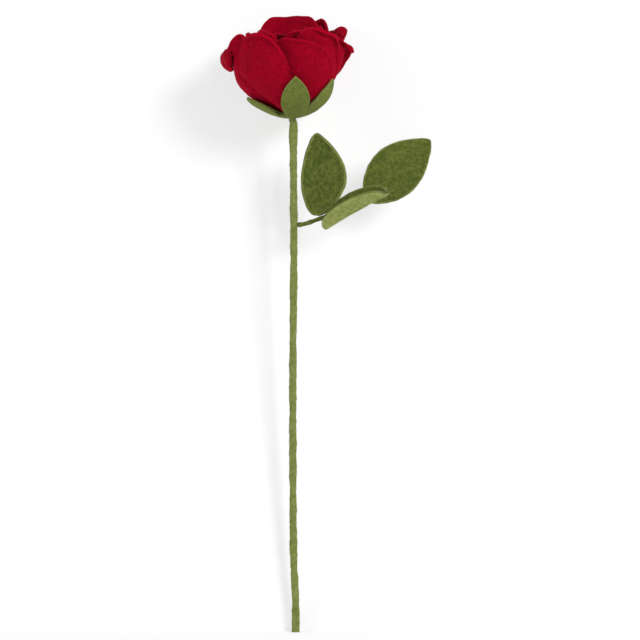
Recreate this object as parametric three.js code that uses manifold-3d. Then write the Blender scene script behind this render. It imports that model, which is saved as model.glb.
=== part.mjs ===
// A felt rose on a long wire stem: a bloom of cut felt petals round a rolled felt bud, a felt calyx under it,
// and a side spray of three felt leaves. Millimetres, +Z up the stem, the origin at the middle of the stem's
// cut foot, -Y towards a viewer who has the leaves on the right.

import * as THREE from 'three';
import { mergeVertices } from 'three/addons/utils/BufferGeometryUtils.js';
import Module from 'manifold-3d';

// Felt
const PETAL_FELT = 2.2; // thickness of the red felt
const CALYX_FELT = 2.2; // thickness of the green felt under the bloom
const LEAF_FELT = 2.4; // thickness of the green felt of the leaves
const GAP = 0.3; // clearance between pieces that touch

// Stem
const STEM_LENGTH = 332; // cut foot to the underside of the calyx
const STEM_SWAY = 1.8; // how far the hand-bent stem stands left of its foot
const FOOT_STRAIGHT = 12; // straight start of the wire above the cut
const WIRE_RADIUS = 1;
const WRAP_RADIUS = 2.4; // outside of the felt strip wound round the wire
const WRAP_EDGE_DROP = 0.4; // how much lower the strip is at its edges
const WRAP_TURNS = 24;
const WRAP_SLOT = 0.95; // bare height between two turns
const WIRE_IN_BUD = 44; // how far the wire reaches into the bloom

// Side spray
const BRANCH_BELOW_BLOOM = 68.5; // where the branch leaves the stem, down from the neck
const NODE_DISTANCE = 16.5; // along the branch to the node with two leaves
const END_LEAF_DISTANCE = 33.1; // from the node to the foot of the end leaf
const BRANCH_WIRE_RADIUS = 0.5;
const BRANCH_RADIUS = 1.4; // outside of the branch's felt sleeve
const BRANCH_TUCK = 12; // how far the branch runs on behind the end leaf
const LEAF_LENGTH = 53; // of the two leaves at the node
const END_LEAF_LENGTH = 56.8;
const LEAF_HALF_WIDTH = 15.5;
const LEAF_FOOT_HALF_WIDTH = 1.4;

// Calyx
const SEPAL_ROOT = 10; // where the sepals part, from the middle of the star
const SEPAL_SPREAD = 29; // half the angle that a sepal takes at its root, degrees
const SEPAL_FULLNESS = 2.6; // power of a sepal's outline; lower is more slender

// Bloom
const BUD_RADIUS = 9; // outside of the rolled bud
const BUD_SLOT = 0.5; // between two turns of the roll
const BUD_HEIGHT = 25; // height of the rolled strip
const OUTER_LENGTH = 66; // felt of an outer petal from the lowest point of its cup to its rim
const MIDDLE_LENGTH = 54;
const INNER_LENGTH = 40;
const BUD_SEAT = 2; // how far the roll sits below the middle of its round bottom
const CORE_RADIUS = 5; // felt core that the petals are glued round
const CUP_OPENING = 0.0012; // how fast the outer cups open above their bottoms
const CURL_RADIUS = 5; // of a petal's rim where it turns outwards
const FOOT_SHARE = 0.6; // a petal's angle at its foot, as a share of its spread
const ROUNDNESS = 2.8; // power of the curve that a petal's rim follows; higher is squarer
const CORNER_CUT = 9; // how much shorter a petal is where its rounded corner ends
const CORNER_START = 0.55; // where a corner starts, as a share of the petal's half width
const TILT_FRONT = 6; // degrees that the bloom nods towards the viewer
const TILT_LEFT = 3;

const RED = new THREE.MeshStandardMaterial({ color: 0x9b1128, roughness: 0.95, metalness: 0 });
const DARK_RED = new THREE.MeshStandardMaterial({ color: 0x7e0c1e, roughness: 0.95, metalness: 0 });
const GREEN = new THREE.MeshStandardMaterial({ color: 0x6a7440, roughness: 0.95, metalness: 0 });
const LIGHT_GREEN = new THREE.MeshStandardMaterial({ color: 0x7b8547, roughness: 0.95, metalness: 0 });
const STEEL = new THREE.MeshStandardMaterial({ color: 0xb9bcc0, roughness: 0.35, metalness: 1 });

const wasm = await Module();
wasm.setup();

const degrees = THREE.MathUtils.degToRad;
const smooth = (x) => THREE.MathUtils.smoothstep(x, 0, 1);

function solidOf(geometry) {
  const bare = geometry.index ? geometry.toNonIndexed() : geometry.clone();
  bare.deleteAttribute('normal');
  bare.deleteAttribute('uv');
  const merged = mergeVertices(bare, 1e-4);
  const vertProperties = merged.attributes.position.array;
  const triVerts = new Uint32Array(merged.index.array);
  return new wasm.Manifold(new wasm.Mesh({ numProp: 3, vertProperties, triVerts }));
}

function geometryOf(solid) {
  const { vertProperties, triVerts } = solid.getMesh();
  return new THREE.BufferGeometry()
    .setAttribute('position', new THREE.BufferAttribute(vertProperties, 3))
    .setIndex(new THREE.BufferAttribute(triVerts, 1));
}

function meshGeometry(points, faces) {
  return new THREE.BufferGeometry()
    .setAttribute('position', new THREE.Float32BufferAttribute(points.flatMap((p) => p.toArray()), 3))
    .setIndex(faces);
}

// A closed sheet of even thickness round the surface pointAt(u, v), with u from -1 to 1 across it and v from 0
// to 1 along it. A ring sheet closes on itself across.
function feltSheet(pointAt, columns, rows, thickness, ring = false) {
  const step = 1e-3;
  const points = [];
  const across = ring ? columns : columns + 1;
  for (const side of [1, -1])
    for (let j = 0; j <= rows; j++)
      for (let i = 0; i < across; i++) {
        const u = (2 * i) / columns - 1;
        const v = j / rows;
        const du = pointAt(u + step, v).sub(pointAt(u - step, v));
        const dv = pointAt(u, v + step).sub(pointAt(u, v - step));
        points.push(pointAt(u, v).addScaledVector(du.cross(dv).normalize(), (side * thickness) / 2));
      }
  const back = across * (rows + 1);
  const at = (i, j) => j * across + (i % across);
  const faces = [];
  const quad = (a, b, c, d) => faces.push(a, b, c, a, c, d);
  for (let j = 0; j < rows; j++)
    for (let i = 0; i < columns; i++) {
      const corners = [at(i, j), at(i + 1, j), at(i + 1, j + 1), at(i, j + 1)];
      quad(...corners);
      quad(...corners.map((k) => k + back).reverse());
    }
  const edge = (a, b) => quad(a, a + back, b + back, b);
  for (let i = 0; i < columns; i++) {
    edge(at(i, 0), at(i + 1, 0));
    edge(at(i + 1, rows), at(i, rows));
  }
  if (!ring)
    for (let j = 0; j < rows; j++) {
      edge(at(columns, j), at(columns, j + 1));
      edge(at(0, j + 1), at(0, j));
    }
  return meshGeometry(points, faces);
}

// Prints the least distance between the points of a winding's sections and those about one turn further on.
function printLeastGap(name, sections, perTurn) {
  let least = Infinity;
  sections.forEach((section, k) => {
    const next = sections.slice(k + Math.round(perTurn * 0.75), k + Math.round(perTurn * 1.25) + 1).flat();
    for (const p of section) for (const q of next) least = Math.min(least, p.distanceTo(q));
  });
  console.log(`${name}: least gap between its turns ${least.toFixed(2)} mm`);
}

const rose = new THREE.Group();
function piece(name, geometry, material, parent = rose) {
  const mesh = new THREE.Mesh(geometry, material);
  mesh.name = name;
  parent.add(mesh);
  return mesh;
}

// Bloom: every petal lies in one of a family of nested cups round the bud. A cup's number is its distance in
// millimetres from the bud, and no two cups come nearer to each other than their numbers differ.
const LAYER_STEP = PETAL_FELT + GAP;
const cupRadius = (layer) => BUD_RADIUS + layer;

// The point at turn, on cup number layer, at the length along from the cup's lowest point. open is how far the
// felt stands out from its cup once it is openHeight above its foot. Beyond curlFrom it turns outwards by curl
// radians on a circle, and what is left of it hangs straight.
function cupPoint(turn, layer, along, open, openHeight, curlFrom = Infinity, curlRadius = 1, curl = 0) {
  const radius = cupRadius(layer);
  const plain = (s) => {
    const angle = Math.min(s / radius, Math.PI / 2);
    const height = Math.max(0, radius * (1 - Math.cos(angle)) + Math.max(0, s - (radius * Math.PI) / 2));
    const out = CUP_OPENING * layer * height ** 1.5 + open * smooth(height / openHeight);
    return [radius * Math.sin(angle) + out, height];
  };
  let [r, height] = plain(Math.min(along, curlFrom));
  if (along > curlFrom) {
    const [r0, h0] = plain(curlFrom - 0.1);
    const lean = Math.atan2(r - r0, height - h0);
    const turned = Math.min((along - curlFrom) / curlRadius, curl);
    const straight = along - curlFrom - turned * curlRadius;
    r += curlRadius * (Math.cos(lean) - Math.cos(lean + turned)) + straight * Math.sin(lean + turned);
    height += curlRadius * (Math.sin(lean + turned) - Math.sin(lean)) + straight * Math.cos(lean + turned);
  }
  return new THREE.Vector3(r * Math.cos(turn), r * Math.sin(turn), height - radius);
}

// turn: where the middle of the petal's rim faces, in degrees from +X towards +Y; the viewer stands at -90.
// footTurn: where its foot is. spread: half its angle. Pairs are for its left and right side, seen from outside.
// layer: the cup it lies in. length: felt from the cup's lowest point to the rim; drop: the share that a side
// is shorter. open: how far a side stands out at openHeight above the foot, changing over the part openOver of
// its width. curl: degrees that the rim turns outwards on curlRadius; curlSides: the share of that at a side;
// hang: straight felt beyond the curl. corner: how much is cut off each rounded corner.
const covering = (layer, spread, spacing) => layer + (LAYER_STEP * 2.06 * spread) / spacing;
const INNER_LAYER = PETAL_FELT / 2 + GAP;
const MIDDLE_LAYER = covering(INNER_LAYER, 72, 120) + LAYER_STEP;
const OUTER_LAYER = covering(MIDDLE_LAYER, 46, 68) + LAYER_STEP;
const OUTERMOST_LAYER = OUTER_LAYER + 2.35 * LAYER_STEP;
const outer = (spread, spacing) => [OUTER_LAYER, covering(OUTER_LAYER, spread, spacing)];
const PETALS = [
  { name: 'outer_petal_front_left', turn: -119, footTurn: -98, spread: 33, length: OUTER_LENGTH + 3,
    drop: [0.26, 0.5], layer: [OUTERMOST_LAYER, OUTER_LAYER + 2.1 * LAYER_STEP], open: [4, 0], openHeight: 30,
    curl: 80, curlSides: [0.3, 0.6], roundness: 1.9 },
  { name: 'outer_petal_front_right', turn: -72, spread: 46, length: OUTER_LENGTH - 8, drop: [0.1, 0.33],
    layer: [OUTER_LAYER + 0.4 * LAYER_STEP, OUTERMOST_LAYER], curl: 45, curlSides: [0, 1],
    corner: [2, 5] },
  { name: 'outer_petal_right_front', turn: -42, spread: 37, length: OUTER_LENGTH - 3, drop: [0.1, 0.42],
    layer: [OUTER_LAYER, OUTER_LAYER + 1.9 * LAYER_STEP], curl: 100, curlSides: [0.1, 1], curlRadius: 3.5,
    corner: [4, CORNER_CUT] },
  { name: 'outer_petal_right', turn: 10, spread: 28, length: OUTER_LENGTH - 6, drop: [0.3, 0.34],
    layer: outer(28, 30), open: [0, 7.3], openHeight: 40, openOver: [-0.4, 0.1],
    curl: 190, curlSides: [0.2, 0.8], curlRadius: 3.2 },
  { name: 'outer_petal_right_back', turn: 39, footTurn: 40, spread: 28, length: OUTER_LENGTH + 4,
    drop: [0.3, 0.3], layer: [OUTER_LAYER, OUTER_LAYER + 1.9 * LAYER_STEP], open: [7.3, 7], openHeight: 40,
    curl: 190, curlSides: [0.7, 0.6], curlRadius: 3.2 },
  { name: 'outer_petal_back_right', turn: 62, footTurn: 69.5, spread: 30, length: OUTER_LENGTH + 5,
    drop: [0.3, 0.24], layer: [OUTER_LAYER, OUTER_LAYER + 2.2 * LAYER_STEP], open: [5, 3], openHeight: 40,
    curl: 60, curlSides: [0, 0.7] },
  { name: 'outer_petal_back', turn: 93, footTurn: 100, spread: 50, length: OUTER_LENGTH + 4, drop: [0.08, 0.22],
    layer: [OUTER_LAYER, OUTER_LAYER], curl: 50, curlSides: [0.5, 0], corner: [7, CORNER_CUT] },
  { name: 'outer_petal_back_left', turn: 142, spread: 34, length: OUTER_LENGTH - 2, drop: [0.2, 0.3],
    layer: [OUTER_LAYER + 1.9 * LAYER_STEP, OUTER_LAYER], curl: 60, curlSides: [0.7, 0] },
  { name: 'outer_petal_left', turn: 182, footTurn: 216, spread: 34, length: OUTER_LENGTH + 1,
    drop: [0.26, 0.24], layer: [OUTER_LAYER + 2 * LAYER_STEP, OUTER_LAYER + 0.8 * LAYER_STEP],
    open: [6, 1], openHeight: 22, openOver: [-0.2, 0.5], curl: 188, curlSides: [0.5, 0.1], curlRadius: 2.9,
    hang: 8, corner: [5, 5] },
  ...[-140, -68, 2, 70, 140].map((turn, i) => (
    { name: `middle_petal_${i + 1}`, turn, spread: 46, length: MIDDLE_LENGTH * [1, 0.96, 1, 1.02, 1][i],
      drop: [0.3, 0.3], layer: [MIDDLE_LAYER, covering(MIDDLE_LAYER, 46, 68)], curl: 40, curlSides: [0, 1],
      corner: [5, 5] })),
  ...[-100, 20, 140].map((turn, i) => (
    { name: `inner_petal_${i + 1}`, turn, spread: 72, length: INNER_LENGTH + 2 * (i - 1), drop: [0.3, 0.3],
      layer: [INNER_LAYER, covering(INNER_LAYER, 72, 120)], curl: 20, curlSides: [0, 1], corner: [5, 5] })),
];

const bloom = new THREE.Group();
bloom.rotation.set(degrees(TILT_FRONT), degrees(-TILT_LEFT), 0);
rose.add(bloom);
const bloomAxis = new THREE.Vector3(0, 0, 1).applyEuler(bloom.rotation);

const between = ([left, right], u) => left + (right - left) * u;

function petalGeometry(petal) {
  const { turn, spread, layer, length, drop, curl, curlSides } = petal;
  const { footTurn = turn, open = [0, 0], openHeight = 30, openOver = [-1, 1] } = petal;
  const { hang = 0, curlRadius = CURL_RADIUS } = petal;
  const { roundness = ROUNDNESS, corner = [CORNER_CUT, CORNER_CUT] } = petal;
  const pointAt = (place, v) => {
    const u = place * (1.25 - 0.25 * place ** 2);
    const side = u < 0 ? 0 : 1;
    const cup = between(layer, (u + 1) / 2);
    const radius = cupRadius(cup);
    const foot = radius * Math.asin((CORE_RADIUS + GAP) / (radius - PETAL_FELT / 2));
    const whole = length * (1 - drop[side] * Math.abs(u) ** roundness);
    const inCorner = THREE.MathUtils.clamp((Math.abs(u) - CORNER_START) / (1 - CORNER_START), 0, 1);
    const cut = corner[side] * (1 - Math.sqrt(1 - inCorner ** 2));
    const share = between([1, curlSides[side]], smooth(Math.abs(u) / 0.75));
    const turned = degrees(curl) * share;
    const curlFrom = whole - hang * share - curlRadius * turned;
    const out = between(open, smooth((u - openOver[0]) / (openOver[1] - openOver[0])));
    const grown = Math.max(0, v) ** 1.5;
    const angle = between([footTurn, turn], grown) + u * spread * between([FOOT_SHARE, 1], grown);
    const along = foot + v * (whole - cut - foot);
    return cupPoint(degrees(angle), cup, along, out, openHeight, curlFrom, curlRadius, turned);
  };
  return feltSheet(pointAt, 10, 11, PETAL_FELT);
}
for (const p of PETALS) piece(p.name, petalGeometry(p), RED, bloom);

// Calyx: one star of felt with five sepals, cupped under the outermost petals.
const CALYX_LAYER = OUTERMOST_LAYER + (PETAL_FELT + CALYX_FELT) / 2 + GAP;
const SEPALS = [
  { turn: -84, length: 43, open: 0.5, openHeight: 30, spread: 26 },
  { turn: -34, length: 40, open: 0.5, openHeight: 30, spread: 24, fullness: 1.8 },
  { turn: 54, length: 38, open: 15, openHeight: 40 },
  { turn: 126, length: 38, open: 7, openHeight: 28 },
  { turn: 198, length: 30, open: 5, openHeight: 22 },
];
const SEPAL_COLUMNS = 8;
const hole = WIRE_RADIUS + GAP;
const calyxRing = (u, v) => {
  const place = ((u + 1) / 2) * SEPALS.length + 2 * SEPALS.length;
  const index = Math.floor(place) % SEPALS.length;
  const w = (place - Math.floor(place)) * 2 - 1;
  const sepal = SEPALS[index];
  const { spread = SEPAL_SPREAD, fullness = SEPAL_FULLNESS } = sepal;
  const side = Math.abs(w);
  const tip = 1 - side;
  const angle = sepal.turn + Math.sign(w) * spread * (1 - (1 - side) ** fullness);
  const reach = SEPAL_ROOT + (sepal.length - SEPAL_ROOT) * tip;
  const along = hole + v * (reach - hole);
  return cupPoint(degrees(angle), CALYX_LAYER, along, sepal.open, sepal.openHeight);
};
piece('calyx', feltSheet(calyxRing, SEPALS.length * SEPAL_COLUMNS, 6, CALYX_FELT, true), LIGHT_GREEN, bloom);

// Core: the felt post that the petals' feet are glued round, with a round head under the bud.
const headHeight = -Math.sqrt(BUD_RADIUS ** 2 - CORE_RADIUS ** 2);
const budFoot = -BUD_SEAT;
const calyxTop = CALYX_FELT / 2 - cupRadius(CALYX_LAYER);
const corePostFoot = calyxTop + 2 * GAP;
const coreProfile = [[hole, corePostFoot], [CORE_RADIUS, corePostFoot], [CORE_RADIUS, headHeight]];
for (let k = 1; k <= 4; k++) {
  const height = headHeight + ((budFoot - headHeight) * k) / 4;
  coreProfile.push([Math.sqrt(BUD_RADIUS ** 2 - height ** 2), height]);
}
coreProfile.push([hole, budFoot], [hole, corePostFoot]);
const lathe = (profile, segments) =>
  new THREE.LatheGeometry(profile.map(([r, z]) => new THREE.Vector2(r, z)), segments).rotateX(Math.PI / 2);
piece('bloom_core', lathe(coreProfile, 24), DARK_RED, bloom);

// Bud: a strip of felt rolled round the wire.
const BUD_COLUMNS_PER_TURN = 18;
const budStart = WIRE_RADIUS + GAP + PETAL_FELT / 2;
const budPitch = PETAL_FELT + BUD_SLOT;
const budTurns = (BUD_RADIUS - PETAL_FELT / 2 - budStart) / budPitch;
const budPoint = (u, v) => {
  const turns = ((u + 1) / 2) * budTurns;
  const r = budStart + turns * budPitch;
  const height = BUD_HEIGHT * (1 - 0.03 * turns) + 0.8 * Math.sin(turns * 9);
  return new THREE.Vector3(
    r * Math.cos(turns * 2 * Math.PI), r * Math.sin(turns * 2 * Math.PI), budFoot + GAP + v * height);
};
const budColumns = Math.round(budTurns * BUD_COLUMNS_PER_TURN);
const budRoll = feltSheet(budPoint, budColumns, 4, PETAL_FELT);
piece('bud_roll', budRoll, DARK_RED, bloom);
const budSections = Array.from({ length: budColumns + 1 }, () => []);
const budPlaces = budRoll.attributes.position;
for (let k = 0; k < budPlaces.count; k++)
  budSections[k % (budColumns + 1)].push(new THREE.Vector3().fromBufferAttribute(budPlaces, k));
printLeastGap('bud_roll', budSections, BUD_COLUMNS_PER_TURN);

// Stem wire: straight at the foot, hand-bent above, and in line with the bloom at the neck.
const neck = new THREE.Vector3(-STEM_SWAY, 0, STEM_LENGTH);
const sway = (share, part) => new THREE.Vector3(-STEM_SWAY * part, 0, STEM_LENGTH * share);
const stemCurve = new THREE.CatmullRomCurve3([
  new THREE.Vector3(0, 0, FOOT_STRAIGHT),
  new THREE.Vector3(0, 0, FOOT_STRAIGHT * 1.5),
  sway(0.14, 0.7), sway(0.33, 1), sway(0.52, 1), sway(0.75, 0.67), sway(0.93, 0.85),
  neck.clone().addScaledVector(bloomAxis, -4),
  neck,
]);
stemCurve.arcLengthDivisions = 600;
const bentLength = stemCurve.getLength();
const wrapLength = FOOT_STRAIGHT + bentLength;
function stemPoint(s) {
  if (s <= FOOT_STRAIGHT) return new THREE.Vector3(0, 0, s);
  if (s >= wrapLength) return neck.clone().addScaledVector(bloomAxis, s - wrapLength);
  return stemCurve.getPointAt((s - FOOT_STRAIGHT) / bentLength);
}
const calyxUnderside = -cupRadius(CALYX_LAYER) - CALYX_FELT / 2;
bloom.position.copy(neck).addScaledVector(bloomAxis, GAP - calyxUnderside);

class PathCurve extends THREE.Curve {
  constructor(pointOf, length) {
    super();
    this.pointOf = pointOf;
    this.span = length;
  }
  getPoint(t) {
    return this.pointOf(t * this.span);
  }
}
function disc(radius, inner = 0) {
  const shape = new THREE.Shape().absarc(0, 0, radius, 0, 2 * Math.PI);
  if (inner) shape.holes.push(new THREE.Path().absarc(0, 0, inner, 0, 2 * Math.PI, true));
  return shape;
}
const swept = (shape, path, steps, sides) =>
  new THREE.ExtrudeGeometry(shape, { extrudePath: path, steps, curveSegments: sides / 2 });
piece('stem_wire', swept(disc(WIRE_RADIUS), new PathCurve(stemPoint, wrapLength + WIRE_IN_BUD), 40, 8), STEEL);

// Branch: leaves the stem level, rises to the node with two leaves and runs on behind the end leaf.
const branchRoot = stemPoint(wrapLength - BRANCH_BELOW_BLOOM);
const heading = (x, y, z) => new THREE.Vector3(x, y, z).normalize();
const node = branchRoot.clone().addScaledVector(heading(0.97, 0.02, 0.225), NODE_DISTANCE);
const endLeafFoot = node.clone().addScaledVector(heading(0.927, 0, 0.375), END_LEAF_DISTANCE);
const endLeafRun = heading(0.73, 0, 0.683);
const behindLeaf = new THREE.Vector3(0, (LEAF_FELT / 2 + GAP + BRANCH_RADIUS) * 1.02, 0);
const branchCurve = new THREE.CatmullRomCurve3([
  branchRoot.clone().add(new THREE.Vector3(WIRE_RADIUS + GAP, 0, 0)),
  branchRoot.clone().add(new THREE.Vector3(WIRE_RADIUS + GAP + 5, 0, 0.4)),
  node,
  node.clone().lerp(endLeafFoot, 0.5).add(behindLeaf.clone().multiplyScalar(0.6)),
  endLeafFoot.clone().add(behindLeaf),
  endLeafFoot.clone().add(behindLeaf).addScaledVector(endLeafRun, BRANCH_TUCK),
]);
piece('branch_wire', swept(disc(BRANCH_WIRE_RADIUS), branchCurve, 16, 6), STEEL);
const sleeveStart = (WRAP_RADIUS + GAP - WIRE_RADIUS - GAP) / branchCurve.getLength();
const sleevePath = new PathCurve((s) => branchCurve.getPointAt(sleeveStart + s * (0.985 - sleeveStart)), 1);
piece('branch_sleeve', swept(disc(BRANCH_RADIUS, BRANCH_WIRE_RADIUS + 0.2), sleevePath, 16, 8), GREEN);

// Wrap: one felt strip wound up the wire from the foot to the neck, cut level at both ends.
const STRIP_STEPS_PER_TURN = 16;
const wrapPitch = wrapLength / (WRAP_TURNS - 1);
const stripHeight = wrapPitch - WRAP_SLOT;
const lump = (s) => 0.22 * Math.sin(s * 0.19) * Math.sin(s * 0.071 + 1) + 0.25 * smooth((s - 290) / 30);
function stripSection(turns) {
  const middle = turns * wrapPitch;
  const low = Math.max(middle - stripHeight / 2, 0);
  const high = Math.min(middle + stripHeight / 2, wrapLength);
  const radius = WRAP_RADIUS + lump(middle);
  const edge = radius - WRAP_EDGE_DROP;
  const inside = WIRE_RADIUS + GAP;
  const corners = [[inside, 0], [inside, 1], [edge, 1], [radius, 0.75], [radius, 0.25], [edge, 0]];
  const angle = turns * 2 * Math.PI;
  return corners.map(([r, share]) => {
    const s = low + (high - low) * share;
    const tangent = stemPoint(s + 0.01).sub(stemPoint(s - 0.01)).normalize();
    const first = new THREE.Vector3(1, 0, 0).projectOnPlane(tangent).normalize();
    const second = tangent.clone().cross(first);
    return stemPoint(s).addScaledVector(first, r * Math.cos(angle)).addScaledVector(second, r * Math.sin(angle));
  });
}
const firstTurn = (0.4 - stripHeight / 2) / wrapPitch;
const lastTurn = (wrapLength - 0.4 + stripHeight / 2) / wrapPitch;
const stripSteps = Math.round((lastTurn - firstTurn) * STRIP_STEPS_PER_TURN);
const stripTurn = (k) => firstTurn + ((lastTurn - firstTurn) * k) / stripSteps;
const sections = [];
for (let k = 0; k <= stripSteps; k++) sections.push(stripSection(stripTurn(k)));
printLeastGap('stem_wrap', sections, STRIP_STEPS_PER_TURN);
const stripFaces = [];
const sides = sections[0].length;
for (let k = 0; k < stripSteps; k++)
  for (let i = 0; i < sides; i++) {
    const a = k * sides + i;
    const b = k * sides + ((i + 1) % sides);
    stripFaces.push(a, b, b + sides, a, b + sides, a + sides);
  }
for (let i = 1; i < sides - 1; i++) {
  stripFaces.push(0, i + 1, i);
  const last = stripSteps * sides;
  stripFaces.push(last, last + i, last + i + 1);
}
const strip = meshGeometry(sections.flat(), stripFaces);
const branchHole = swept(disc(BRANCH_WIRE_RADIUS + GAP), new THREE.LineCurve3(
  branchRoot, branchRoot.clone().add(new THREE.Vector3(WRAP_RADIUS * 2, 0, 0))), 1, 8);
piece('stem_wrap', geometryOf(solidOf(strip).subtract(solidOf(branchHole))), GREEN);

// Leaves: pointed ovals of felt, cupped across by cup degrees to each side and bent back along by bend.
// foot: the lower end of the midrib; run: its direction; face: the way its hollow side looks; width: its half
// width as a share of LEAF_HALF_WIDTH; blunt: power of its outline, lower is blunter; bow: how far its middle
// moves sideways; fold: how far from the midrib the cupping ends, with straight felt beyond it.
const LEAVES = [
  { name: 'leaf_left', foot: node.clone().add(new THREE.Vector3(-1.4, 0, BRANCH_RADIUS + 3 * GAP)),
    run: heading(0, -0.06, 1), length: LEAF_LENGTH, face: heading(0, -1, 0),
    width: 1, blunt: 0.8, bow: 4.8, cup: 32, bend: 4 },
  { name: 'leaf_middle',
    foot: node.clone().add(new THREE.Vector3(5, -(BRANCH_RADIUS + LEAF_FELT / 2 + GAP), -5.6)),
    run: heading(0.78, -0.47, 0.42), length: LEAF_LENGTH, face: heading(-0.575, -0.258, 0.779),
    width: 0.85, blunt: 0.4, bow: 0, cup: 67, bend: -2, fold: 4 },
  { name: 'leaf_end', foot: endLeafFoot, run: endLeafRun, length: END_LEAF_LENGTH, face: heading(0, -1, 0),
    width: 1.11, blunt: 0.8, bow: 3, cup: 14, bend: 0 },
];
function leafGeometry(leaf) {
  const face = leaf.face.clone().projectOnPlane(leaf.run).normalize();
  const across = leaf.run.clone().cross(face);
  const cup = degrees(leaf.cup);
  const swell = leaf.width * LEAF_HALF_WIDTH - LEAF_FOOT_HALF_WIDTH;
  const pointAt = (u, v) => {
    const along = THREE.MathUtils.clamp(v, 0, 1);
    const arch = Math.sin(Math.PI * along);
    const oval = Math.max(0, Math.sin(Math.PI * along ** 0.9)) ** leaf.blunt;
    const half = LEAF_FOOT_HALF_WIDTH * (1 - 0.57 * along) + swell * oval;
    const bent = Math.min(leaf.fold ?? Infinity, half);
    const turned = THREE.MathUtils.clamp((u * half) / bent, -1, 1) * cup;
    const past = Math.max(0, Math.abs(u) * half - bent);
    const sideways = (bent / cup) * Math.sin(turned) + Math.sign(u) * past * Math.cos(cup);
    const inwards = (bent / cup) * (1 - Math.cos(turned)) + past * Math.sin(cup);
    return leaf.foot.clone()
      .addScaledVector(leaf.run, v * leaf.length)
      .addScaledVector(across, sideways + leaf.bow * arch)
      .addScaledVector(face, inwards - leaf.bend * arch);
  };
  return feltSheet(pointAt, 8, 14, LEAF_FELT);
}
for (const leaf of LEAVES) piece(leaf.name, leafGeometry(leaf), LIGHT_GREEN);

export default rose;
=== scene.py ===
import math

import bpy
import numpy as np
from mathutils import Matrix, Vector
from mathutils.kdtree import KDTree


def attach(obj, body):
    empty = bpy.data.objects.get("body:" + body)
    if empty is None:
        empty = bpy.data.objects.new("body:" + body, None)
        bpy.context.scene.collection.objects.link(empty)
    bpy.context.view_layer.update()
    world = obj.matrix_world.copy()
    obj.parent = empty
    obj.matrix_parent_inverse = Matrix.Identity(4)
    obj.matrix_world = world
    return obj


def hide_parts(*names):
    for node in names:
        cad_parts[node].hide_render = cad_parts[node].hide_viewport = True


# A felt rose on a long wire stem. Lengths are in millimetres until a shape goes into its mesh, which is in
# metres, with the origin at the middle of the stem's cut foot and +Z up the stem.

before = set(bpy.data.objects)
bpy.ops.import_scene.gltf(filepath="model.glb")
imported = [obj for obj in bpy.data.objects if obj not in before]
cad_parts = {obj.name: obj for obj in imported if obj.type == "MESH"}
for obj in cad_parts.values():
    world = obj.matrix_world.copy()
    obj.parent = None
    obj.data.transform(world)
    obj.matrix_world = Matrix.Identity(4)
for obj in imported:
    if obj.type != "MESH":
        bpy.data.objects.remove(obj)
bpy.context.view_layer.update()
MM = 0.001

# Petals
# Seventeen petals cut from red wool felt about 2 mm thick. Each is pressed into a cup, glued by its foot
# round the core, and shingled over its neighbours; the outer ones have their rims rolled outwards by hand.

PETAL_FELT = 2.2
GAP = 0.3
BUD_RADIUS = 9
CORE_RADIUS = 5
CUP_OPENING = 0.0012
CURL_RADIUS = 5
FOOT_SHARE = 0.6
ROUNDNESS = 2.8
CORNER_CUT = 9
CORNER_START = 0.55
TILT_FRONT = math.radians(6)
TILT_LEFT = math.radians(3)
OUTER_LENGTH = 66
MIDDLE_LENGTH = 54
INNER_LENGTH = 40
MIDDLE_SPREAD, MIDDLE_SPACING = 46, 68
INNER_SPREAD, INNER_SPACING = 72, 120
OVERLAP_CLIMB = 2.06
NECK = np.array([-1.8, 0, 332])

LAYER_STEP = PETAL_FELT + GAP


def covering(layer, spread, spacing):
    """The layer of a petal's upper side, which climbs over the next petal, spacing degrees away."""
    return layer + LAYER_STEP * OVERLAP_CLIMB * spread / spacing


INNER_LAYER = PETAL_FELT / 2 + GAP
MIDDLE_LAYER = covering(INNER_LAYER, INNER_SPREAD, INNER_SPACING) + LAYER_STEP
OUTER_LAYER = covering(MIDDLE_LAYER, MIDDLE_SPREAD, MIDDLE_SPACING) + LAYER_STEP
OUTERMOST_LAYER = OUTER_LAYER + 2.35 * LAYER_STEP


def smooth(x):
    """0 up to 0, 1 from 1, with soft ends."""
    x = np.clip(x, 0, 1)
    return x * x * (3 - 2 * x)


def between(pair, share):
    return pair[0] + (pair[1] - pair[0]) * share


def cup_point(turn, layer, along, opening, open_height, curl_from=1e9, curl_radius=1, curl=0):
    """Points on a cup that lies layer away from the bud, at the length along from its lowest point. Past
    curl_from it rolls outwards by the angle curl."""
    radius = BUD_RADIUS + layer

    def plain(s):
        angle = np.minimum(s / radius, math.pi / 2)
        height = np.maximum(0, radius * (1 - np.cos(angle)) + np.maximum(0, s - radius * math.pi / 2))
        out = CUP_OPENING * layer * height**1.5 + opening * smooth(height / open_height)
        return radius * np.sin(angle) + out, height

    r, height = plain(np.minimum(along, curl_from))
    before = plain(np.minimum(along, curl_from) - 0.1)
    lean = np.arctan2(r - before[0], height - before[1])
    past = np.maximum(0, along - curl_from)
    turned = np.minimum(past / curl_radius, curl)
    straight = past - turned * curl_radius
    r = r + curl_radius * (np.cos(lean) - np.cos(lean + turned)) + straight * np.sin(lean + turned)
    height = height + curl_radius * (np.sin(lean + turned) - np.sin(lean)) + straight * np.cos(lean + turned)
    return np.stack([r * np.cos(turn), r * np.sin(turn), height - radius], axis=1)


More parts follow.
